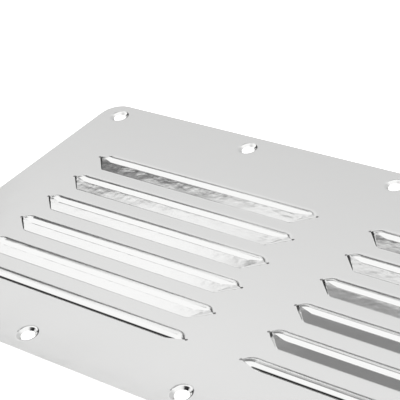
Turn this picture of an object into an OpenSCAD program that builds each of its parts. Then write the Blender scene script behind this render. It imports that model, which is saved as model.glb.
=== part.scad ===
/* [Sheet] */
// Length of the panel along X
sheet_len = 230; // [222:1:300]
// Height of the panel along Y
sheet_wid = 115; // [104:1:150]
// Thickness of the steel
sheet_t = 0.8; // [0.6:0.1:1.1]
// Radius of the four corners
corner_r = 6.5; // [2:0.5:12]

/* [Louvre block] */
// Louvres in each column
rows = 6; // [1:1:6]
// Columns of louvres
columns = 2; // [1:1:2]
// Distance from one louvre to the next in a column
row_pitch = 12.4; // [12.2:0.1:14]
// Distance between the middles of the columns
column_pitch = 102; // [92:0.1:106]
// Shift of the whole block from the middle of the sheet along X
block_x = -3; // [-4:0.5:4]
// Shift of the whole block from the middle of the sheet along Y
block_y = -3; // [-4:0.5:4]

/* [Slit] */
// Length of each slit between its two relief holes
slit_len = 84.2; // [60:0.1:88]
// Diameter of the relief hole at each end of a slit
relief_d = 0.8; // [0.5:0.1:1.2]
// Gap that the cut leaves between flap and lip, seen from above
kerf = 0.25; // [0.15:0.05:0.4]
// How far the straight part of the slit lies on the lip's side of its relief holes
slit_drop = 1.85; // [1:0.05:2.4]
// Length of the slanted run from a relief hole to the straight part, along X
slit_slant = 2.9; // [2:0.1:4]

/* [Inward flap] */
// Distance from the slit to the line where the flap bends down
flap_wid = 4.75; // [4.55:0.05:4.75]
// Distance from a relief hole to the middle of the flap's round end, along X
flap_end_inset = 4.4; // [4.4:0.1:8]
// Radius of the gentle bend that the flap starts with, on its front side
flap_lead_r = 14; // [10:1:16]
// Slope where the gentle bend ends
flap_lead_slope = 8; // [5:1:9]
// Radius of the tighter bend after it
flap_bend_r = 1.6; // [1.2:0.1:2]
// Slope of the flap after both bends
flap_slope = 25; // [15:1:30]
// Length of the flap's sloping flat
flap_flat = 0.7; // [0.4:0.1:0.8]
// Radius of the bend that turns the flap's edge down, on its front side
edge_bend_r = 1.6; // [1.2:0.1:1.7]
// Slope of the turned edge
edge_slope = 60; // [45:1:65]
// Length of the turned edge's flat
edge_flat = 1.1; // [0.3:0.1:1.2]

/* [Outward lip] */
// Distance from the slit to the line where the lip bends up
lip_wid = 4.1; // [3.5:0.05:4.8]
// Radius of the lip's bend, on its front side
lip_bend_r = 2; // [1:0.5:6]
// Slope of the lip
lip_slope = 8; // [5:0.1:12]
// Angle that the lip's slanted ends make with the slit
lip_end_angle = 45; // [38:1:48]
// Radius of the bend along those ends
lip_end_r = 0.8; // [0.5:0.1:1.5]
// Slope of the short wall that each end rises with
lip_end_slope = 32; // [24:1:40]

/* [Screw holes] */
// Screw holes along each long edge
holes_long = 5; // [3:1:7]
// Distance from a screw hole to the short edge
hole_inset_x = 7.5; // [6:0.1:8]
// Distance from a screw hole to the long edge
hole_inset_y = 6.2; // [5:0.1:7]
// Diameter of a screw hole
hole_d = 4; // [3:0.1:4.4]
// Diameter of the sunk rim round a screw hole
sink_d = 6.6; // [6:0.1:8]
// Radius of the bend at the sunk rim, on its front side
sink_bend_r = 0.9; // [0.8:0.1:1.2]
// Slope of the sunk cone
sink_slope = 42; // [35:1:45]

/* [Hidden] */
$fn = 96;
// Flats that each bend is made of
bend_steps = 4;
// Flat rim that a formed part shares with the sheet round it
seam = 0.5;
// Depth that reaches past every formed part
reach = 20;
// Each louvre's own origin lies midway between its relief holes
slit_y = -slit_drop;
flap_y = slit_y + flap_wid;
lip_y = slit_y - lip_wid;
relief_x = slit_len / 2;
slant_x = relief_x - slit_slant;
flap_round_x = relief_x - flap_end_inset;
// Corner where the lip's long bend meets its slanted end
lip_corner_x = relief_x + lip_y / tan(lip_end_angle);
hole_pitch = (sheet_len - 2 * hole_inset_x) / (holes_long - 1);

// A point on the front side of a section is [distance, height, slope], the slope being positive downwards
function last(path) = path[len(path) - 1];

// Adds a flat run to the path
function flat_run(path, length) =
    let (p = last(path))
    concat(path, [[p[0] + length * cos(p[2]), p[1] - length * sin(p[2]), p[2]]]);

// Adds a bend to the given slope; the radius is positive for a bend away from the front, else negative
function bend(path, r, slope) =
    let (p = last(path))
    concat(path, [
        for (i = [1 : bend_steps])
            let (a = p[2] + (slope - p[2]) * i / bend_steps)
            [p[0] + r * (sin(a) - sin(p[2])), p[1] + r * (cos(a) - cos(p[2])), a]
    ]);

// Both sides of the sheet along the path
function front(path) = [for (p = path) [p[0], p[1]]];
function back(path) = [for (p = path) [p[0] - sheet_t * sin(p[2]), p[1] - sheet_t * cos(p[2])]];
function reversed(list) = [for (i = [len(list) - 1 : -1 : 0]) list[i]];

// The same path with its first and last point drawn out, for solids that are cut to size later
function long_reach(path) =
    let (p = last(path))
    concat([[-reach, sheet_t, 0]], path, [
        [p[0] + slit_len * cos(p[2]), p[1] - slit_len * sin(p[2]), p[2]]
    ]);

// The sheet where a formed part starts, from the rim that it shares with the flat
start = [[-seam, sheet_t, 0], [0, sheet_t, 0]];
flap_start = bend(bend(start, flap_lead_r, flap_lead_slope), flap_bend_r, flap_slope);
flap_path = flat_run(bend(flat_run(flap_start, flap_flat), edge_bend_r, edge_slope), edge_flat);
lip_path = bend(start, -lip_bend_r, -lip_slope);
lip_end_path = bend(start, -lip_end_r, -lip_end_slope);
sink_path = flat_run(bend(start, sink_bend_r, sink_slope), sink_d / 2);

// Section of the sheet along a path
module section(path) {
    polygon(concat(front(path), reversed(back(path))));
}

// Everything below one side of the sheet, as a section
module under(side) {
    polygon(concat(side, [[last(side)[0], -reach], [side[0][0], -reach]]));
}

// Draws a section along X from -length / 2 to length / 2, its own x pointing along Y
module along_x(length) {
    rotate([90, 0, 90]) translate([0, 0, -length / 2]) linear_extrude(length) children();
}

// Draws its children at the +X end of a louvre and mirrored at the -X end
module both_ends() {
    children();
    mirror([1, 0, 0]) children();
}

// Plan of everything on the flap's side of the slit, a given distance away from it
module beyond_slit(gap) {
    polygon([
        [-relief_x, gap], [-slant_x, slit_y + gap], [slant_x, slit_y + gap], [relief_x, gap],
        [relief_x, reach], [-relief_x, reach]
    ]);
}

// Plan of everything on the lip's side of the slit
module before_slit() {
    polygon([
        [-relief_x, 0], [-slant_x, slit_y], [slant_x, slit_y], [relief_x, 0],
        [relief_x, -reach], [-relief_x, -reach]
    ]);
}

// Plan of the flap, grown by the part of its rim that is given
module flap_plan(rim) {
    intersection() {
        beyond_slit(0);
        union() {
            translate([-flap_round_x, slit_y]) square([2 * flap_round_x, flap_wid + rim]);
            both_ends() translate([flap_round_x, slit_y]) circle(flap_wid + rim);
        }
    }
}

// Plan of the lip, grown by the part of its rim that is given
module lip_plan(rim) {
    end_x = relief_x + rim / sin(lip_end_angle);
    near_x = end_x + (lip_y - rim) / tan(lip_end_angle);
    intersection() {
        before_slit();
        polygon([[-end_x, 0], [end_x, 0], [near_x, lip_y - rim], [-near_x, lip_y - rim]]);
    }
}

// Flap pressed inward, its round ends running up to the flat sheet
module flap() {
    intersection() {
        union() {
            translate([0, flap_y, 0]) mirror([0, 1, 0]) along_x(2 * flap_round_x) section(flap_path);
            both_ends() translate([flap_round_x, slit_y, 0])
                rotate_extrude(angle = 90) translate([flap_wid, 0]) mirror([1, 0]) section(flap_path);
        }
        translate([0, 0, -reach]) linear_extrude(2 * reach) beyond_slit(kerf);
    }
}

// Everything below one side of the lip: its long slope mitred with the walls at its two ends
module under_lip(long_side, end_side) {
    length = 2 * slit_len;
    intersection() {
        translate([0, lip_y, 0]) along_x(length) under(long_side);
        translate([lip_corner_x, lip_y, 0]) rotate([0, 0, lip_end_angle]) along_x(length) under(end_side);
        mirror([1, 0, 0]) translate([lip_corner_x, lip_y, 0])
            rotate([0, 0, lip_end_angle]) along_x(length) under(end_side);
    }
}

// Lip raised outward, with a short wall down to the flat sheet at each slanted end
module lip() {
    intersection() {
        difference() {
            under_lip(front(long_reach(lip_path)), front(long_reach(lip_end_path)));
            under_lip(back(long_reach(lip_path)), back(long_reach(lip_end_path)));
        }
        translate([0, 0, -reach]) linear_extrude(2 * reach) lip_plan(seam);
    }
}

// Relief holes at both ends of a slit, each with the slanted hairline that runs from it
module slit_ends() {
    both_ends() translate([0, 0, -reach]) {
        translate([relief_x, 0, 0]) cylinder(d = relief_d, h = 2 * reach);
        linear_extrude(2 * reach) polygon([
            [relief_x, 0], [slant_x, slit_y], [slant_x, slit_y + kerf], [relief_x, kerf]
        ]);
    }
}

// Places its children at each louvre; $has_lip is false in the row nearest the -Y edge
module at_louvres() {
    for (column = [0 : columns - 1], row = [0 : rows - 1]) {
        $has_lip = row > 0;
        translate([
            block_x + (column - (columns - 1) / 2) * column_pitch,
            block_y + (row - (rows - 1) / 2) * row_pitch,
            0
        ]) children();
    }
}

// Places its children at each screw hole
module at_holes() {
    for (column = [0 : holes_long - 1], side = [-1, 1])
        translate([
            (column - (holes_long - 1) / 2) * hole_pitch,
            side * (sheet_wid / 2 - hole_inset_y),
            0
        ]) children();
}

// Outline of the panel with its rounded corners
module outline() {
    square([sheet_len - 2 * corner_r, sheet_wid], center = true);
    square([sheet_len, sheet_wid - 2 * corner_r], center = true);
    for (x = [-1, 1], y = [-1, 1])
        translate([x * (sheet_len / 2 - corner_r), y * (sheet_wid / 2 - corner_r)]) circle(corner_r);
}

// Flat sheet with its openings, before the formed parts are joined to it
module blank() {
    linear_extrude(sheet_t) difference() {
        outline();
        at_louvres() {
            flap_plan(seam / 2);
            if ($has_lip) lip_plan(seam / 2);
        }
        at_holes() circle(d = sink_d + seam);
    }
}

// Cone pressed inward round a screw hole
module sink() {
    rotate_extrude() translate([sink_d / 2, 0]) mirror([1, 0]) section(sink_path);
}

module louvre_panel() {
    color("gainsboro") difference() {
        union() {
            blank();
            at_louvres() {
                flap();
                if ($has_lip) lip();
            }
            at_holes() sink();
        }
        at_louvres() slit_ends();
        at_holes() translate([0, 0, -reach]) cylinder(d = hole_d, h = 2 * reach);
    }
}

louvre_panel();
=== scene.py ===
import math
import bmesh
import bpy
import numpy as np
from mathutils import Matrix, Vector
from mathutils.geometry import delaunay_2d_cdt


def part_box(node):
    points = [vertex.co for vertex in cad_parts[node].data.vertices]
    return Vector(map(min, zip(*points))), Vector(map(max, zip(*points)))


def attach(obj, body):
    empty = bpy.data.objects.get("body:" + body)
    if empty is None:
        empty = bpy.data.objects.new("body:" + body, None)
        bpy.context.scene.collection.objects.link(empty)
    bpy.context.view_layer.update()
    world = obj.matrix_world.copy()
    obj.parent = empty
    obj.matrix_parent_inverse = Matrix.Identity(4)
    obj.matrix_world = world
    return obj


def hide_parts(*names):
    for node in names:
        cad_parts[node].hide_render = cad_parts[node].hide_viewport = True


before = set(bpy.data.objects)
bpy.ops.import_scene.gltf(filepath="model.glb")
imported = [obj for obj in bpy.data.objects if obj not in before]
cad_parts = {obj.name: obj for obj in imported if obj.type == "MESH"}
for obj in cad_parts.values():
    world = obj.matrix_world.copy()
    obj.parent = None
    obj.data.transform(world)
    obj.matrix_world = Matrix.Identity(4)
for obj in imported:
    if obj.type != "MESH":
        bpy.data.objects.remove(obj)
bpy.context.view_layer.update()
mm = 0.001               # the sizes below are in millimetres
nearly = 0.01            # points within this distance of a line lie on it
tiny = 1e-9              # keeps a division from running into nought
panelLow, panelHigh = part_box("louvre_panel")
print("frame read")


class Wire:
    # one output of a node; Python's operators on it add Math nodes
    def __init__(self, board, socket):
        self.board = board
        self.socket = socket

    def math(self, operation, first, second):
        return self.board.add("ShaderNodeMath", {"operation": operation}, {0: first, 1: second})

    def __add__(self, other):
        return self.math("ADD", self, other)

    __radd__ = __add__

    def __sub__(self, other):
        return self.math("SUBTRACT", self, other)

    def __rsub__(self, other):
        return self.math("SUBTRACT", other, self)

    def __mul__(self, other):
        return self.math("MULTIPLY", self, other)

    __rmul__ = __mul__

    def __truediv__(self, other):
        return self.math("DIVIDE", self, other)

    def __lt__(self, other):
        return self.math("LESS_THAN", self, other)


class Board:
    # a node tree; add() makes any node from its type, its settings and what feeds its sockets
    def __init__(self, tree):
        self.tree = tree
        tree.nodes.clear()

    def add(self, kind, settings=None, feeds=None, out=0):
        node = self.tree.nodes.new(kind)
        for name, value in (settings or {}).items():
            setattr(node, name, value)
        for name, value in (feeds or {}).items():
            self.feed(node.inputs[name], value)
        return Wire(self, node.outputs[out]) if len(node.outputs) else node

    def feed(self, socket, value):
        for one in value if isinstance(value, list) else [value]:
            if isinstance(one, Wire):
                self.tree.links.new(one.socket, socket)
            else:
                socket.default_value = one

    def group(self, name):
        # an input of the tree, by its name
        return self.add("NodeGroupInput", out=name)

    def fade(self, value, start, end, low=0.0, high=1.0):
        # runs smoothly from low to high while value runs from start to end
        return self.add("ShaderNodeMapRange", {"interpolation_type": "SMOOTHSTEP"}, {
            "Value": value, "From Min": start, "From Max": end, "To Min": low, "To Max": high})

    def mix(self, low, high, amount):
        return low * (1 - amount) + high * amount

    def attribute(self, name, kind="FLOAT"):
        return self.add("GeometryNodeInputNamedAttribute", {"data_type": kind}, {"Name": name})


# The sheet that everything is pressed into
sheet = {
    "length": (panelHigh.x - panelLow.x) / mm,
    "width": (panelHigh.y - panelLow.y) / mm,
    "thickness": 0.8,
    "cornerRadius": 6.5,
    "cornerSteps": 14,
    "holesAlong": 5,
    "holeInset": (7.5, 6.2),     # from the short and from the long edge
    "rimDepth": 0.2,             # cut edges lie within this distance of the outline
    # how much darker the cut faces are painted: partly a duller sheared edge, partly painted shade, fullest
    # in the slits' openings
    "cutDullnessAndShade": {"slit": 1.0, "outline": 0.25},
    "sharpAngle": 18,            # degrees; the shading breaks at edges sharper than this
}
louvreBlock = {
    "rows": 6,
    "columns": 2,
    "rowPitch": 12.4,
    "columnPitch": 102.0,
    "shift": (-3.0, -3.0),
    "patchX": 44.8,              # half length of the piece of sheet that one louvre takes up
    "patchY": (-7.2, 3.3),
    "guard": 0.25,               # a line this far outside each bend keeps its shading off the flat sheet
    "straightSteps": 6,
    "lipWidening": (-0.277, 0.059),      # share by which the nearest and farthest rows' lips are wider
    "bendShift": (-0.13, 0.45),  # how far outwards the flap's gentle bend ends there
    "lipChange": 0.03,           # share by which single lips are higher or lower
    "seed": 4,
}
slit = {
    "reliefX": 42.1,             # from the middle of the louvre to its relief holes
    "reliefRadius": 0.4,
    "gap": 0.25,
    "drop": 1.65,                # the straight run lies this far on the lip's side of the relief holes
    "slant": 6.0,                # and is reached over this length
    "openWider": 0.2,           # where no lip stands over it, the slit is cut this much wider
    "reliefSteps": 20,
    "firstStep": 0.5,            # length of the first edge beside the slant's corner
}
flap = {
    "width": 4.55,
    "roundX": 37.86,
    "lead": 1.95,                # width of the gentle bend along the straight part
    "leadAtEnd": 0.6,            # and beside the relief holes
    "leadStages": [{"bend": 11.5, "slope": 6.4}, {"flat": 0.35}, {"bend": 11.5, "slope": 8}],
    "openStages": [{"bend": 0.5, "slope": 25}, {"flat": 0.97}, {"bend": 1.6, "slope": 60}, {"flat": 1.1}],
    "stages": [{"bend": 0.5, "slope": 25}, {"flat": 1.27}, {"bend": 1.2, "slope": 75}, {"flat": 0.5}],
    "bendSteps": 5,
    "roundSteps": 16,
}
lip = {
    "width": 4.3,
    "stages": [{"bend": -3.5, "slope": -8}, {"flat": 6}],
    "endStages": [{"bend": -0.4, "slope": -60}, {"flat": 6}],
    "endAngle": 45,
    "cornerRound": 3.0,
    "ridge": 0.03,               # height over which the ridge between slope and end wall is rounded
    "ridgeShare": 0.6,           # but no more than this share of the height there
    "rings": (0, 0.06, 0.12, 0.18, 0.24, 0.3, 0.36, 0.42, 0.49, 0.7, 1.1, 1.6, 2.4, 3.2),
    "roll": (0.3, 0.09),         # width and depth of the rounding that the cut leaves along the edge
    "rollFade": 1.5,             # length over which it runs out at its ends
    "rollSteps": 5,
    "cornerSteps": 10,
    "endSteps": 14,
}
sink = {
    "holeRadius": 2.0,
    "rimRadius": 3.3,
    "stages": [{"bend": 0.9, "slope": 37}, {"flat": 4.0}],
    "bendSteps": 6,
    "collar": 0.35,              # flat ring round the rim
    "around": 64,
}


def pressedSection(stages, bendSteps):
    # rows of distance from where the form starts, drop below the sheet, and slope there
    rows = [(0.0, 0.0, 0.0)]
    for stage in stages:
        away, drop, slope = rows[-1]
        if "flat" in stage:
            length = stage["flat"]
            rows.append((away + length * math.cos(slope), drop + length * math.sin(slope), slope))
            continue
        for step in range(1, bendSteps + 1):
            turned = slope + (math.radians(stage["slope"]) - slope) * step / bendSteps
            rows.append((away + stage["bend"] * (math.sin(turned) - math.sin(slope)),
                         drop + stage["bend"] * (math.cos(slope) - math.cos(turned)), turned))
    return np.array(rows)


def readSection(section, reach):
    drop = np.interp(reach, section[:, 0], section[:, 1])
    slope = np.interp(reach, section[:, 0], section[:, 2])
    return drop, slope


# How finely sections are read, and how finely and how far crossings of lines are searched for
search = {
    "sectionSteps": 80,
    "turns": 721,
    "endWalk": (20, 4001),
    "ridgeWalk": (2, 401),
    "ridgeStart": 0.2,
}
lipSection = pressedSection(lip["stages"], search["sectionSteps"])
lipEndSection = pressedSection(lip["endStages"], search["sectionSteps"])
slitY = -slit["drop"]
lipY = slitY - lip["width"]
endTurn = math.radians(lip["endAngle"])
endAlong = np.array([math.cos(endTurn), math.sin(endTurn)])     # along the lip's slanted end
endOut = np.array([math.sin(endTurn), -math.cos(endTurn)])      # square to it, away from the lip
lipRoundY = lipY + lip["cornerRound"]
lipRoundX = (slit["reliefX"] * endOut[0] - lip["cornerRound"] - endOut[1] * lipRoundY) / endOut[0]


def cutY(x):
    # the lip's side of the cut, seen from above
    return slitY * np.clip((slit["reliefX"] - np.abs(x)) / slit["slant"], 0, 1)


def leadWidth(turn):
    # the gentle bend narrows round the flap's end, down to the relief hole
    low = math.atan2(slit["drop"], slit["reliefX"] - flap["roundX"])
    share = np.clip((turn - low) / (math.pi / 2 - low), 0, 1)
    return flap["leadAtEnd"] + (flap["lead"] - flap["leadAtEnd"]) * np.sqrt(share)


def flapReach(plan, whole):
    # how far along its section each point of the flap lies, how fast and which way that grows, and
    # how wide the gentle bend is there
    off = np.stack([np.maximum(np.abs(plan[:, 0]) - flap["roundX"], 0), plan[:, 1] - slitY], 1)
    radius = np.maximum(np.hypot(off[:, 0], off[:, 1]), tiny)
    width = leadWidth(np.arctan2(off[:, 1], off[:, 0]))
    reach = flap["width"] - radius
    rates = flap["lead"] / width, (whole - flap["lead"]) / (whole - width)
    onLead = reach < width
    reach = np.where(onLead, reach * rates[0], flap["lead"] + (reach - width) * rates[1])
    way = -off / radius[:, None] * np.stack([np.where(plan[:, 0] < 0, -1, 1), np.ones(len(plan))], 1)
    return reach, np.where(onLead, *rates), way, width


def lipReach(plan):
    # the same for the lip's outline, whose near corners are rounded
    folded = np.stack([np.abs(plan[:, 0]), plan[:, 1]], 1)
    off = folded - (lipRoundX, lipRoundY)
    radius = np.maximum(np.hypot(off[:, 0], off[:, 1]), tiny)
    reach = lip["cornerRound"] - radius
    way = -off / radius[:, None]
    long = off[:, 0] < 0
    end = off @ endAlong > 0
    reach = np.where(long, folded[:, 1] - lipY, reach)
    reach = np.where(end, slit["reliefX"] * endOut[0] - folded @ endOut, reach)
    way[long] = (0, 1)
    way[end] = -endOut
    way[:, 0] *= np.where(plan[:, 0] < 0, -1, 1)
    return reach, way


def flapForm(plan, section):
    # height over the sheet, how it grows along X and Y, and the share of the row's shift that a point takes
    whole = section[-1, 0]
    reach, rate, way, width = flapReach(plan, whole)
    drop, slope = readSection(section, reach)
    share = np.interp(reach, (0, flap["lead"], whole), (0, 1, 0)) * width / flap["lead"]
    lift = np.minimum(drop, np.interp(flap["lead"], section[:, 0], section[:, 1])) / flap["lead"]
    shift = np.concatenate([-share[:, None] * way, lift[:, None]], 1)
    return -drop, -(np.tan(slope) * rate)[:, None] * way, shift


def lipRoll(plan):
    # how far the rounding along the cut takes the lip's edge down
    width, depth = lip["roll"]
    along = np.clip((slit["reliefX"] - slit["slant"] - np.abs(plan[:, 0])) / lip["rollFade"], 0, 1)
    return depth * along * np.clip(1 - (slitY - plan[:, 1]) / width, 0, 1) ** 2


def lipForm(plan):
    # the lower one of the long slope and the end wall, with a rounded ridge between them
    reach, way = lipReach(plan)
    slopeDrop, slope = readSection(lipSection, plan[:, 1] - lipY)
    wallDrop, wallSlope = readSection(lipEndSection, reach)
    long, wall = -slopeDrop, -wallDrop
    span = np.minimum(lip["ridge"], lip["ridgeShare"] * np.minimum(long, wall)) + tiny
    near = np.maximum(span - np.abs(long - wall), 0) / span
    share = np.where(long < wall, 1 - near / 2, near / 2)[:, None]
    grade = -np.tan(slope)[:, None] * (0, 1) * share - np.tan(wallSlope)[:, None] * way * (1 - share)
    return np.minimum(long, wall) - span * near ** 2 / 4 - lipRoll(plan), grade


def louvreForm(plan, section, hasLip):
    # height and growth for each point of one louvre's piece of sheet, and what the rows change about it
    onFlap = plan[:, 1] > cutY(plan[:, 0]) + slit["gap"] / 2
    height, grade, shift = flapForm(plan, section)
    lipHeight, lipGrade = lipForm(plan)
    height = np.where(onFlap, height, lipHeight * hasLip)
    grade = np.where(onFlap[:, None], grade, lipGrade * hasLip)
    isStill = onFlap | (plan[:, 1] < louvreBlock["patchY"][0] + nearly)
    span = np.where(isStill, 0, np.minimum(plan[:, 1] - slitY, 0)) * hasLip
    shift = np.where(onFlap[:, None], shift, 0)
    marks = {"lipRise": np.maximum(height, 0) * mm, "lipSpan": span * mm, "bendWay": shift}
    return height, grade, marks


def mirrored(half):
    # a line drawn from the middle to +X, with its mirror image before it
    half = np.array(half)
    return np.concatenate([half[:0:-1] * (-1, 1), half])


def flapLine(reach, whole):
    # all points that lie equally far along the flap's section
    def arcAt(turn):
        width = leadWidth(turn)
        onLead = reach * width / flap["lead"] if reach > 0 else reach
        beyond = width + (reach - flap["lead"]) * (whole - width) / (whole - flap["lead"])
        radius = flap["width"] - np.where(reach > flap["lead"], beyond, onLead)
        return np.stack([flap["roundX"] + radius * np.cos(turn), slitY + radius * np.sin(turn)], 1)

    turn = np.radians(np.linspace(0, 90, search["turns"]))
    arc = arcAt(turn)
    first = turn[np.argmax(arc[:, 1] > cutY(arc[:, 0]) + slit["gap"] / 2)]
    arc = arcAt(np.linspace(math.pi / 2, first, flap["roundSteps"] + 1))
    run = np.linspace(0, flap["roundX"], louvreBlock["straightSteps"], endpoint=False)
    return mirrored(np.concatenate([np.stack([run, run * 0 + arc[0, 1]], 1), arc]))


def lipLine(reach):
    radius = lip["cornerRound"] - reach
    turn = np.linspace(-math.pi / 2, -math.pi / 2 + endTurn, lip["cornerSteps"] + 1)
    arc = np.stack([lipRoundX + radius * np.cos(turn), lipRoundY + radius * np.sin(turn)], 1)
    run = np.linspace(0, lipRoundX, louvreBlock["straightSteps"], endpoint=False)
    walk = np.linspace(0, *search["endWalk"])
    ahead = arc[-1] + walk[:, None] * endAlong
    stop = walk[np.argmax(ahead[:, 1] > cutY(ahead[:, 0]) + slit["gap"] / 2)]
    end = arc[-1] + np.linspace(0, stop, lip["endSteps"] + 1)[1:, None] * endAlong
    return mirrored(np.concatenate([np.stack([run, run * 0 + lipY + reach], 1), arc, end]))


def ridgeLine(side):
    # where the lip's long slope meets the wall at its +X or -X end
    edge = lipLine(0)
    edge = edge[edge[:, 0] > lipRoundX + search["ridgeStart"]]
    line = []
    for start in edge:
        inward = lipReach(start[None, :])[1][0]
        ahead = start + np.linspace(0, *search["ridgeWalk"])[:, None] * inward
        long = -readSection(lipSection, ahead[:, 1] - lipY)[0]
        wall = -readSection(lipEndSection, lipReach(ahead)[0])[0]
        line.append(ahead[np.argmax(wall[1:] >= long[1:]) + 1])
    line = np.array(line)
    return line[line[:, 1] < slitY + slit["gap"] / 2] * (side, 1)


def rollLine(away):
    far = slit["reliefX"] - slit["slant"]
    return np.array([(-far, slitY - away), (far, slitY - away)])


def slitOutline(whole):
    # the opening between flap and lip with its relief holes, as one closed line
    flapY = slitY + flap["width"] - whole
    slantX = slit["reliefX"] - slit["slant"]
    meetX = slantX + slit["slant"] * (flapY - slitY - slit["gap"]) / slit["drop"]
    steps = louvreBlock["straightSteps"] + 1
    right = [(x, flapY) for x in np.linspace(0, meetX, steps)]
    cutTurn = math.atan2(slit["drop"], slit["slant"])
    radius = slit["reliefRadius"]
    over = math.asin(slit["gap"] * math.cos(cutTurn) / radius)
    for a in np.linspace(math.pi + cutTurn - over, cutTurn - math.pi, slit["reliefSteps"] + 1):
        right.append((slit["reliefX"] + radius * math.cos(a), radius * math.sin(a)))
    right.append((slantX, slitY))
    right += [(x, slitY) for x in np.linspace(slantX - slit["firstStep"], 0, steps)]
    right = np.array(right)
    left = right[::-1] * (-1, 1)
    return np.concatenate([right, left[1:-1]])


def inside(plan, loop):
    # which points lie inside a closed line
    x, y = plan[:, 0][:, None], plan[:, 1][:, None]
    a, b = loop, np.roll(loop, -1, axis=0)
    spans = (a[:, 1] > y) != (b[:, 1] > y)
    with np.errstate(divide="ignore", invalid="ignore"):
        crossX = a[:, 0] + (y - a[:, 1]) * (b[:, 0] - a[:, 0]) / (b[:, 1] - a[:, 1])
    return (spans & (x < crossX)).sum(axis=1) % 2 == 1


def meshPlan(lines, loops, voids):
    # fills the plan with triangles whose edges follow every line and loop, and takes out the voids
    sameSpot, sliver = 1e-5, 1e-9        # millimetres and square millimetres
    points, edges = [], []
    for line, closed in [(one, False) for one in lines] + [(one, True) for one in loops]:
        first = len(points)
        points += [Vector((float(x), float(y))) for x, y in line]
        edges += [(first + i, first + i + 1) for i in range(len(line) - 1)]
        if closed:
            edges.append((len(points) - 1, first))
    plan, _, faces, *_ = delaunay_2d_cdt(points, edges, [], 0, sameSpot, False)
    plan = np.array([tuple(p) for p in plan])
    faces = np.array([tuple(f) for f in faces])
    middle = plan[faces].mean(axis=1)
    keep = np.ones(len(faces), bool)
    for void in voids:
        keep &= ~inside(middle, void)
    faces = faces[keep]
    a, b, c = (plan[faces[:, i]] for i in range(3))
    area = (b[:, 0] - a[:, 0]) * (c[:, 1] - a[:, 1]) - (b[:, 1] - a[:, 1]) * (c[:, 0] - a[:, 0])
    faces[area < 0] = faces[area < 0][:, ::-1]
    faces = faces[np.abs(area) > sliver]
    used, new = np.unique(faces, return_inverse=True)
    return plan[used], new.reshape(faces.shape)


def pressSheet(name, plan, faces, height, grade, isRim, dullnessAndShade, marks):
    # gives the plan its form and the sheet's thickness, and closes the cut edges
    up = np.stack([-grade[:, 0], -grade[:, 1], np.ones(len(plan))], 1)
    up /= np.linalg.norm(up, axis=1)[:, None]
    front = np.stack([plan[:, 0], plan[:, 1], sheet["thickness"] + height], 1)
    back = front - sheet["thickness"] * up
    count = len(plan)
    sides = np.concatenate([faces[:, [0, 1]], faces[:, [1, 2]], faces[:, [2, 0]]])
    ways = {(a, b) for a, b in sides.tolist()}
    rim = [(a, b) for a, b in sorted(ways) if (b, a) not in ways and isRim((plan[a] + plan[b]) / 2)]
    allFaces = faces.tolist() + (faces[:, ::-1] + count).tolist()
    allFaces += [[b, a, a + count, b + count] for a, b in rim]
    mesh = bpy.data.meshes.new(name)
    mesh.from_pydata((np.concatenate([front, back]) * mm).tolist(), [], allFaces)
    # the cut faces get a mark by which the steel paints them darker: a duller sheared edge and painted
    # shade
    sheared = mesh.attributes.new("sheared", "FLOAT", "FACE")
    sheared.data.foreach_set("value", dullnessAndShade * (np.arange(len(allFaces)) >= 2 * len(faces)))
    for mark, values in marks.items():
        kind, field = ("FLOAT_VECTOR", "vector") if values.ndim == 2 else ("FLOAT", "value")
        stored = mesh.attributes.new(mark, kind, "POINT")
        stored.data.foreach_set(field, np.concatenate([values, values]).ravel())
    piece = bpy.data.objects.new(name, mesh)
    bpy.context.scene.collection.objects.link(piece)
    return piece


def pressLouvre(name, hasLip):
    stages = flap["leadStages"] + flap["stages" if hasLip else "openStages"]
    section = pressedSection(stages, search["sectionSteps"])
    whole = section[-1, 0]
    outline = slitOutline(whole)
    lowY, highY = louvreBlock["patchY"]
    halfX = louvreBlock["patchX"]
    patch = np.array([(-halfX, lowY), (halfX, lowY), (halfX, highY), (-halfX, highY)])
    guard = -louvreBlock["guard"]
    flapStops = pressedSection(stages, flap["bendSteps"])[:-1, 0]
    lines = [flapLine(reach, whole) for reach in (guard, *flapStops)]
    if hasLip:
        lines += [lipLine(reach) for reach in (guard, *lip["rings"])] + [ridgeLine(1), ridgeLine(-1)]
        lines += [rollLine(away) for away in np.linspace(0, lip["roll"][0], lip["rollSteps"] + 1)[1:]]
    plan, faces = meshPlan(lines, [outline, patch], [outline])
    if not hasLip:
        nearEdge = (plan[:, 1] < slitY + nearly) & (plan[:, 1] > lowY + nearly)
        plan[nearEdge, 1] -= slit["openWider"]
    height, grade, marks = louvreForm(plan, section, hasLip)

    def isRim(place):
        return abs(place[0]) < halfX - nearly and lowY + nearly < place[1] < highY - nearly

    return pressSheet(name, plan, faces, height, grade, isRim, sheet["cutDullnessAndShade"]["slit"], marks)


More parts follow.
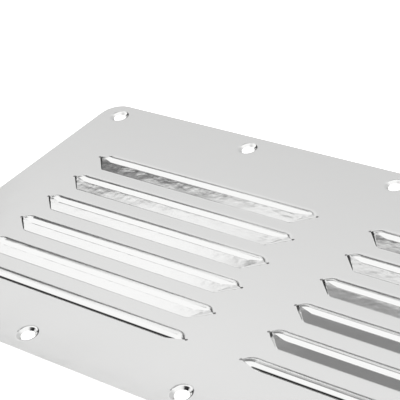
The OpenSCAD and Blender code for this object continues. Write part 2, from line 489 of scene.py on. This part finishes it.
def pressSink():
    # one sunk screw hole, turned from its section
    wall = sheet["thickness"]
    section = pressedSection(sink["stages"], sink["bendSteps"])
    bends = section[:-1]
    slope = section[-1, 2]
    frontEnd = sink["rimRadius"] - sink["holeRadius"]
    backEnd = frontEnd + wall * math.sin(slope)
    fall = [bends[-1, 1] + (end - bends[-1, 0]) * math.tan(slope) for end in (frontEnd, backEnd)]
    front = [(-sink["collar"], 0, 0), *bends.tolist(), (frontEnd, fall[0], slope)]
    back = [(-sink["collar"], 0, 0), *bends.tolist(), (backEnd, fall[1], slope)]
    rim = sink["rimRadius"]
    profile = [(rim - away, wall - drop) for away, drop, a in front]
    for away, drop, a in reversed(back):
        profile.append((rim - away + wall * math.sin(a), wall - drop - wall * math.cos(a)))
    around = sink["around"]
    verts = []
    faces = []
    for i, (radius, z) in enumerate(profile):
        for k in range(around):
            turn = 2 * math.pi * k / around
            verts.append((radius * math.cos(turn) * mm, radius * math.sin(turn) * mm, z * mm))
            here, beside = i * around + k, i * around + (k + 1) % around
            if i + 1 < len(profile):
                faces.append((here, here + around, beside + around, beside))
    mesh = bpy.data.meshes.new("sunkHole")
    mesh.from_pydata(verts, [], faces)
    piece = bpy.data.objects.new("sunkHole", mesh)
    bpy.context.scene.collection.objects.link(piece)
    return piece


def pressFlat():
    # the flat sheet with its rounded corners, open where the louvres and the sunk holes go
    halfX, halfY, radius = sheet["length"] / 2, sheet["width"] / 2, sheet["cornerRadius"]
    outline = []
    for turn, sx, sy in ((0, 1, 1), (90, -1, 1), (180, -1, -1), (270, 1, -1)):
        middle = sx * (halfX - radius), sy * (halfY - radius)
        for a in np.radians(np.linspace(turn, turn + 90, sheet["cornerSteps"] + 1)):
            outline.append((middle[0] + radius * math.cos(a), middle[1] + radius * math.sin(a)))
    outline = np.array(outline)
    lowY, highY = louvreBlock["patchY"]
    patchX = louvreBlock["patchX"]
    voids = []
    for x, y in louvrePlaces():
        voids.append(np.array([(x - patchX, y + lowY), (x + patchX, y + lowY),
                               (x + patchX, y + highY), (x - patchX, y + highY)]))
    turn = np.linspace(0, 2 * math.pi, sink["around"], endpoint=False)
    ring = (sink["rimRadius"] + sink["collar"]) * np.stack([np.cos(turn), np.sin(turn)], 1)
    spanX, spanY = holeSpan()
    for x in np.linspace(-spanX / 2, spanX / 2, sheet["holesAlong"]):
        for y in (-spanY / 2, spanY / 2):
            voids.append(ring + (x, y))
    plan, faces = meshPlan([], [outline, *voids], voids)

    def isRim(place):
        off = np.maximum(np.abs(place) - (halfX - radius, halfY - radius), 0)
        return np.hypot(*off) > radius - sheet["rimDepth"]

    # the outline's cut faces get less of the painted shade than the slits' cut faces
    dullnessAndShade = sheet["cutDullnessAndShade"]["outline"]
    return pressSheet("louvrePanel", plan, faces, plan[:, 0] * 0, plan * 0, isRim, dullnessAndShade, {})


def louvrePlaces():
    rows, columns = louvreBlock["rows"], louvreBlock["columns"]
    shiftX, shiftY = louvreBlock["shift"]
    for column in range(columns):
        for row in range(rows):
            yield (shiftX + (column - (columns - 1) / 2) * louvreBlock["columnPitch"],
                   shiftY + (row - (rows - 1) / 2) * louvreBlock["rowPitch"])


def holeSpan():
    insetX, insetY = sheet["holeInset"]
    return sheet["length"] - 2 * insetX, sheet["width"] - 2 * insetY


def panelTree():
    # sets louvres and sunk holes into the flat sheet; the rows and single lips differ a little
    tree = bpy.data.node_groups.new("pressedPanel", "GeometryNodeTree")
    inputs = {
        "Sheet": "NodeSocketGeometry", "Louvre": "NodeSocketObject",
        "Louvre Without Lip": "NodeSocketObject", "Sunk Hole": "NodeSocketObject",
        "Columns": "NodeSocketInt", "Rows": "NodeSocketInt",
        "Column Pitch": "NodeSocketFloat", "Row Pitch": "NodeSocketFloat",
        "Block Shift": "NodeSocketVector", "Holes Along": "NodeSocketInt",
        "Hole Span X": "NodeSocketFloat", "Hole Span Y": "NodeSocketFloat",
        "Near Lip Widening": "NodeSocketFloat", "Far Lip Widening": "NodeSocketFloat",
        "Near Bend Shift": "NodeSocketFloat", "Far Bend Shift": "NodeSocketFloat",
        "Lip Change": "NodeSocketFloat", "Seed": "NodeSocketInt", "Finish": "NodeSocketMaterial",
    }
    for name, kind in inputs.items():
        tree.interface.new_socket(name=name, in_out="INPUT", socket_type=kind)
    tree.interface.new_socket(name="Panel", in_out="OUTPUT", socket_type="NodeSocketGeometry")
    board = Board(tree)
    rows, pitch = board.group("Rows"), board.group("Row Pitch")
    height = (rows - 1) * pitch
    block = board.add("GeometryNodeMeshGrid", {}, {
        "Size X": (board.group("Columns") - 1) * board.group("Column Pitch"), "Size Y": height,
        "Vertices X": board.group("Columns"), "Vertices Y": rows})
    place = board.add("GeometryNodeInputPosition")
    y = board.add("ShaderNodeSeparateXYZ", {}, {0: place}, out="Y")
    nearest = y < (pitch / 4 - height / 2)

    def instances(points, source, choice):
        shape = board.add("GeometryNodeObjectInfo", {"transform_space": "ORIGINAL"}, {
            "Object": board.group(source), "As Instance": True}, out="Geometry")
        return board.add("GeometryNodeInstanceOnPoints", {}, {
            "Points": points, "Instance": shape, "Selection": choice})

    louvres = board.add("GeometryNodeJoinGeometry", {}, {0: [
        instances(block, "Louvre", 1 - nearest), instances(block, "Louvre Without Lip", nearest)]})
    change = board.add("FunctionNodeRandomValue", {"data_type": "FLOAT"}, {
        "Min": -1.0, "Max": 1.0, "Seed": board.group("Seed")}, out=1)
    perLouvre = {"data_type": "FLOAT", "domain": "INSTANCE"}
    for name, value in (("lipChange", change), ("rowShare", y / height + 0.5)):
        louvres = board.add("GeometryNodeStoreNamedAttribute", perLouvre, {
            "Geometry": louvres, "Name": name, "Value": value})
    louvres = board.add("GeometryNodeTransform", {}, {
        "Geometry": louvres, "Translation": board.group("Block Shift")})
    rims = board.add("GeometryNodeMeshGrid", {}, {
        "Size X": board.group("Hole Span X"), "Size Y": board.group("Hole Span Y"),
        "Vertices X": board.group("Holes Along"), "Vertices Y": 2})
    holes = instances(rims, "Sunk Hole", True)
    whole = board.add("GeometryNodeJoinGeometry", {}, {0: [board.group("Sheet"), louvres, holes]})
    whole = board.add("GeometryNodeRealizeInstances", {}, {"Geometry": whole})
    share = board.attribute("rowShare")
    wider = board.mix(board.group("Near Lip Widening"), board.group("Far Lip Widening"), share)
    lift = board.attribute("lipRise") * board.attribute("lipChange") * board.group("Lip Change")
    lipMove = board.add("ShaderNodeCombineXYZ", {}, {"Y": board.attribute("lipSpan") * wider, "Z": lift})
    bendMove = board.add("ShaderNodeVectorMath", {"operation": "SCALE"}, {
        0: board.attribute("bendWay", "FLOAT_VECTOR"),
        "Scale": board.mix(board.group("Near Bend Shift"), board.group("Far Bend Shift"), share)})
    move = board.add("ShaderNodeVectorMath", {"operation": "ADD"}, {0: lipMove, 1: bendMove})
    whole = board.add("GeometryNodeSetPosition", {}, {"Geometry": whole, "Offset": move})
    whole = board.add("GeometryNodeSetMaterial", {}, {"Geometry": whole, "Material": board.group("Finish")})
    board.add("NodeGroupOutput", {}, {"Panel": whole})
    return tree


def runTree(piece, tree, values):
    # runs the tree on the piece and keeps the result as its plain mesh
    modifier = piece.modifiers.new(tree.name, "NODES")
    modifier.node_group = tree
    for item in tree.interface.items_tree:
        if item.in_out == "INPUT" and item.name in values:
            modifier[item.identifier] = values[item.name]
    depsgraph = bpy.context.evaluated_depsgraph_get()
    mesh = bpy.data.meshes.new_from_object(piece.evaluated_get(depsgraph), depsgraph=depsgraph)
    piece.modifiers.remove(modifier)
    old = piece.data
    piece.data = mesh
    bpy.data.meshes.remove(old)


def sewn(piece, sharpAngle):
    # joins the patches along their shared edges and shades the bends smooth
    sameSpot = 0.001 * mm
    work = bmesh.new()
    work.from_mesh(piece.data)
    bmesh.ops.remove_doubles(work, verts=work.verts, dist=sameSpot)
    for face in work.faces:
        face.smooth = True
    openEdges = sum(1 for edge in work.edges if len(edge.link_faces) != 2)
    work.to_mesh(piece.data)
    work.free()
    piece.data.set_sharp_from_angle(angle=math.radians(sharpAngle))
    print("sheet sewn:", len(piece.data.polygons), "faces,", openEdges, "open edges")


def polishedSteel():
    # stainless sheet, polished, with the faint waves of a pressing and fine hairlines along its length
    finish = {
        "colour": (0.80, 0.80, 0.795, 1),
        "roughness": (0.07, 0.15),
        "waveSize": 22.0,            # millimetres from crest to crest on the flat
        "waveHeight": 0.012,
        "rippleSize": 3.6,
        "rippleStretch": (0.75, 1, 1),
        "rippleHeight": 0.012,
        "lipRipple": 9.0,            # so much more ripple for each millimetre that a lip stands out
        "hairline": (6.0, 0.12),     # length and width
        "smearSize": 30.0,
        "smearShare": 0.6,           # of the change in roughness, the rest being hairlines
        # darker colour of the cut faces: a duller sheared edge, and painted shade in the slits
        "shearedAndShadedColour": (0.30, 0.30, 0.30, 1),
        "shearedRoughness": 0.45,
    }
    steel = bpy.data.materials.new("polishedSteel")
    steel.use_nodes = True
    board = Board(steel.node_tree)
    place = board.add("ShaderNodeTexCoord", out="Object")

    def cloud(size, detail, stretch=(1, 1, 1)):
        spot = board.add("ShaderNodeMapping", {}, {"Vector": place, "Scale": stretch})
        return board.add("ShaderNodeTexNoise", {}, {
            "Vector": spot, "Scale": 1 / (size * mm), "Detail": detail})

    longHair, thinHair = finish["hairline"]
    hairs = cloud(thinHair, detail=2, stretch=(thinHair / longHair, 1, 1))
    smears = cloud(finish["smearSize"], detail=3)
    rise = board.add("ShaderNodeAttribute", {"attribute_name": "lipRise"}, out="Fac") / mm
    low, high = finish["roughness"]
    roughness = low + (high - low) * board.mix(hairs, smears, finish["smearShare"])
    # the cut faces are rougher, and painted darker as shade
    sheared = board.add("ShaderNodeAttribute", {"attribute_name": "sheared"}, out="Fac")
    roughness = board.mix(roughness, finish["shearedRoughness"], sheared)
    colour = board.add("ShaderNodeMix", {"data_type": "RGBA"}, {
        "Factor": sheared, 6: finish["colour"], 7: finish["shearedAndShadedColour"]}, out=2)
    waves = cloud(finish["waveSize"], detail=1) * (finish["waveHeight"] * mm)
    ripples = cloud(finish["rippleSize"], detail=2, stretch=finish["rippleStretch"])
    ripples = ripples * (finish["rippleHeight"] * mm)
    ripples = ripples * (1 + rise * finish["lipRipple"])
    normal = board.add("ShaderNodeBump", {}, {"Height": waves + ripples, "Distance": 1.0, "Strength": 1.0})
    shader = board.add("ShaderNodeBsdfPrincipled", {}, {
        "Base Color": colour, "Metallic": 1.0, "Roughness": roughness, "Normal": normal})
    board.add("ShaderNodeOutputMaterial", {}, {"Surface": shader})
    return steel


def makePanel():
    louvre = pressLouvre("louvre", True)
    plainLouvre = pressLouvre("louvreWithoutLip", False)
    sunkHole = pressSink()
    panel = pressFlat()
    spanX, spanY = holeSpan()
    shiftX, shiftY = louvreBlock["shift"]
    nearLip, farLip = louvreBlock["lipWidening"]
    nearBend, farBend = louvreBlock["bendShift"]
    steel = polishedSteel()
    runTree(panel, panelTree(), {
        "Louvre": louvre, "Louvre Without Lip": plainLouvre, "Sunk Hole": sunkHole,
        "Columns": louvreBlock["columns"], "Rows": louvreBlock["rows"],
        "Column Pitch": louvreBlock["columnPitch"] * mm, "Row Pitch": louvreBlock["rowPitch"] * mm,
        "Block Shift": (shiftX * mm, shiftY * mm, 0.0), "Holes Along": sheet["holesAlong"],
        "Hole Span X": spanX * mm, "Hole Span Y": spanY * mm,
        "Near Lip Widening": nearLip, "Far Lip Widening": farLip,
        "Near Bend Shift": nearBend * mm, "Far Bend Shift": farBend * mm,
        "Lip Change": louvreBlock["lipChange"], "Seed": louvreBlock["seed"], "Finish": steel})
    for pattern in (louvre, plainLouvre, sunkHole):
        bpy.data.objects.remove(pattern)
    sewn(panel, sheet["sharpAngle"])
    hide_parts("louvre_panel")
    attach(panel, "root")


makePanel()
print("panel made")


def makeFloor():
    # plain white floor at the lowest level of the flaps, on which the panel rests
    look = {
        "size": 6.0,             # metres
        "colour": (0.86, 0.86, 0.86, 1),
        "glow": 0.95,
        "seenBy": ("Is Camera Ray", "Is Glossy Ray", "Is Transmission Ray"),
    }
    white = bpy.data.materials.new("whiteFloor")
    white.use_nodes = True
    board = Board(white.node_tree)
    rays = board.add("ShaderNodeLightPath", out="Is Camera Ray").socket.node
    seen = sum(Wire(board, rays.outputs[kind]) for kind in look["seenBy"]) * look["glow"]
    matt = board.add("ShaderNodeBsdfDiffuse", {}, {"Color": look["colour"]})
    glow = board.add("ShaderNodeEmission", {}, {"Color": (1, 1, 1, 1), "Strength": seen})
    both = board.add("ShaderNodeAddShader", {}, {0: matt, 1: glow})
    board.add("ShaderNodeOutputMaterial", {}, {"Surface": both})
    mesh = bpy.data.meshes.new("floor")
    half = look["size"] / 2
    corners = [(x * half, y * half, panelLow.z) for x, y in ((-1, -1), (1, -1), (1, 1), (-1, 1))]
    mesh.from_pydata(corners, [], [(0, 1, 2, 3)])
    floor = bpy.data.objects.new("floor", mesh)
    bpy.context.scene.collection.objects.link(floor)
    mesh.materials.append(white)


def makeStudio():
    # a white room: a bright backdrop, a narrow dark seam above it, a large softbox overhead, and in
    # front a dark screen; heights are degrees up from the far horizon, turned about the panel's
    # length, and sides are degrees to the left of the panel's middle
    studio = {
        "backdrop": (0.73, 0.99),        # brightness low down and at the seam
        "backdropSpan": (30, 52),
        "seam": (51.8, 53.0, 55.7, 57.0),        # where it starts, is full, thins and ends
        "seamSide": (-8, 4),             # it ends right of the middle
        "seamTilt": (37.5, 1.0),         # it climbs beyond this side, by so much per degree
        "seamClimb": 2.3,                # up to this much
        "seamDip": (30.5, 31.5, 33.5, 35.5),     # and lies lower between these sides
        "dipDepth": 2.1,
        "seamLight": 0.05,
        "wallSide": (43.5, 46),          # a dark side wall, left of the backdrop
        "wallFrom": (5, 12),
        "wallTo": (66, 72),
        "wallEnd": (68, 73),             # and the corner beyond it, dark below, paler above
        "cornerLight": 0.8,
        "softbox": 1.19,
        "softboxEnd": (106, 122),
        "screenLight": 0.01,
        "screenSide": (2, 12, 46, 52),   # the screen stands left of the middle
        "sideLight": 0.85,
        "shade": (59.1, 59.9, 71, 78),   # a greyer part of the softbox to the right
        "shadeSide": (33.9, 31.9),
        "shadeLight": (0.42, 0.27),
        "shadeFade": 4,                  # it darkens over this many degrees
    }
    world = bpy.data.worlds.new("studio")
    bpy.context.scene.world = world
    world.use_nodes = True
    board = Board(world.node_tree)
    way = board.add("ShaderNodeTexCoord", out="Generated")
    split = board.add("ShaderNodeSeparateXYZ", {}, {0: way}).socket.node
    x, y, z = (Wire(board, split.outputs[axis]) for axis in "XYZ")
    up = board.add("ShaderNodeMath", {"operation": "ARCTAN2"}, {0: z, 1: y}) * math.degrees(1)
    side = board.add("ShaderNodeMath", {"operation": "ARCSINE"}, {0: x * -1}) * math.degrees(1)

    light = board.fade(up, *studio["backdropSpan"], *studio["backdrop"])
    seamStart, seamFull, seamLess, seamEnd = studio["seam"]
    tiltStart, tilt = studio["seamTilt"]
    climb = board.add("ShaderNodeMath", {"operation": "MAXIMUM"}, {0: side - tiltStart, 1: 0.0}) * tilt
    climb = board.add("ShaderNodeMath", {"operation": "MINIMUM"}, {0: climb, 1: studio["seamClimb"]})
    dipStart, dipFull, dipLess, dipEnd = studio["seamDip"]
    dip = board.fade(side, dipStart, dipFull) * (1 - board.fade(side, dipLess, dipEnd))
    climb = climb - dip * studio["dipDepth"]
    hasSeam = board.fade(side, *studio["seamSide"])
    light = board.mix(light, studio["seamLight"], board.fade(up, seamStart, seamFull) * hasSeam)
    light = board.mix(light, studio["softbox"], board.fade(up - climb, seamLess, seamEnd))
    atWall = board.fade(side, *studio["wallSide"]) * board.fade(up, *studio["wallFrom"])
    beyond = board.fade(side, *studio["wallEnd"])
    light = board.mix(light, studio["cornerLight"], beyond)
    atWall = (atWall * (1 - beyond) + beyond) * (1 - board.fade(up, *studio["wallTo"]))
    light = board.mix(light, studio["seamLight"], atWall)
    shadeStart, shadeFull, shadeLess, shadeEnd = studio["shade"]
    shaded = board.fade(up, shadeStart, shadeFull) * (1 - board.fade(up, shadeLess, shadeEnd))
    shaded = shaded * board.fade(side, *studio["shadeSide"]) * hasSeam
    shade = board.fade(up, shadeFull, shadeFull + studio["shadeFade"], *studio["shadeLight"])
    light = board.mix(light, shade, shaded)
    screenStart, screenFull, screenLess, screenEnd = studio["screenSide"]
    screen = board.fade(side, screenStart, screenFull) * (1 - board.fade(side, screenLess, screenEnd))
    front = board.mix(studio["sideLight"], studio["screenLight"], screen)
    light = board.mix(light, front, board.fade(up, *studio["softboxEnd"]))
    rays = board.add("ShaderNodeLightPath", out="Is Camera Ray")
    light = board.mix(light, 1.0, rays)
    glow = board.add("ShaderNodeBackground", {}, {"Color": (1, 1, 1, 1), "Strength": light})
    board.add("ShaderNodeOutputWorld", {}, {"Surface": glow})


def makeCamera():
    view = {
        "place": (201.25, -244.29, 230.88),
        "aim": (-49.68, 21.09, 0.8),
        "roll": 10.88,           # degrees
        "lens": 129.56,
        "sensor": 36,
        "clip": (0.01, 20),      # metres
    }
    camera = bpy.data.objects.new("camera", bpy.data.cameras.new("camera"))
    bpy.context.scene.collection.objects.link(camera)
    bpy.context.scene.camera = camera
    place = Vector(view["place"]) * mm
    ahead = Vector(view["aim"]) * mm - place
    turn = ahead.to_track_quat("-Z", "Y").to_matrix().to_4x4()
    roll = Matrix.Rotation(math.radians(-view["roll"]), 4, "Z")
    camera.matrix_world = Matrix.Translation(place) @ turn @ roll
    camera.data.lens = view["lens"]
    camera.data.sensor_width = view["sensor"]
    camera.data.clip_start, camera.data.clip_end = view["clip"]


makeFloor()
makeStudio()
makeCamera()
bpy.context.scene.view_settings.view_transform = "Standard"
print("studio made")
